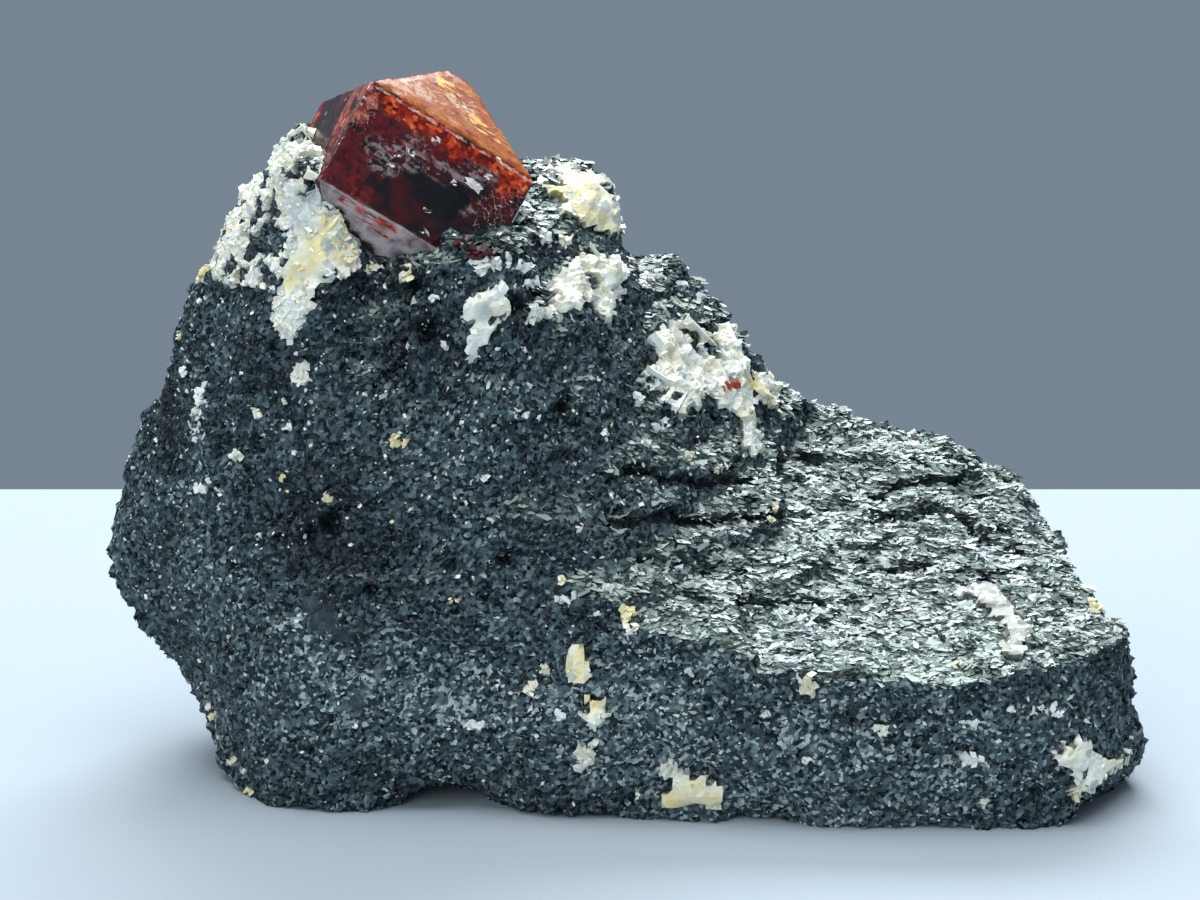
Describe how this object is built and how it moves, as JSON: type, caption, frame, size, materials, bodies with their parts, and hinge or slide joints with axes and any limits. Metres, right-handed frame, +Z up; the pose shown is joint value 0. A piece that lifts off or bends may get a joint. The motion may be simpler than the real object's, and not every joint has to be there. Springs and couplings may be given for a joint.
{
  "type": "zircon crystal on biotite schist matrix",
  "caption": "Stepped block of dark mica schist with veins of cream calcite, carrying a thick red-brown zircon crystal on its upper shoulder.",
  "frame": {"origin": "middle of the specimen's bounding box, at the level of the face it rests on", "axes": "+X along the longest extent, from the high shoulder with the zircon to the low ledge; -Y out of the displayed front; +Z up"},
  "size_m": [0.0787, 0.0407, 0.0532],
  "materials": {
    "schist": "rough broken mica schist, dark green-grey, with glittering flakes",
    "calcite": "cream, finely crystalline, satin",
    "zircon": "clear to cloudy red-brown crystal with adamantine gloss"
  },
  "bodies": {
    "root": {"schist_matrix": "schist", "zircon_crystal": "zircon", "calcite_left": "calcite", "calcite_knob": "calcite", "calcite_shoulder": "calcite", "calcite_brow": "calcite", "calcite_slope": "calcite", "calcite_ledge": "calcite", "calcite_corner": "calcite", "calcite_base": "calcite", "calcite_front": "calcite"}
  },
  "joints": []
}
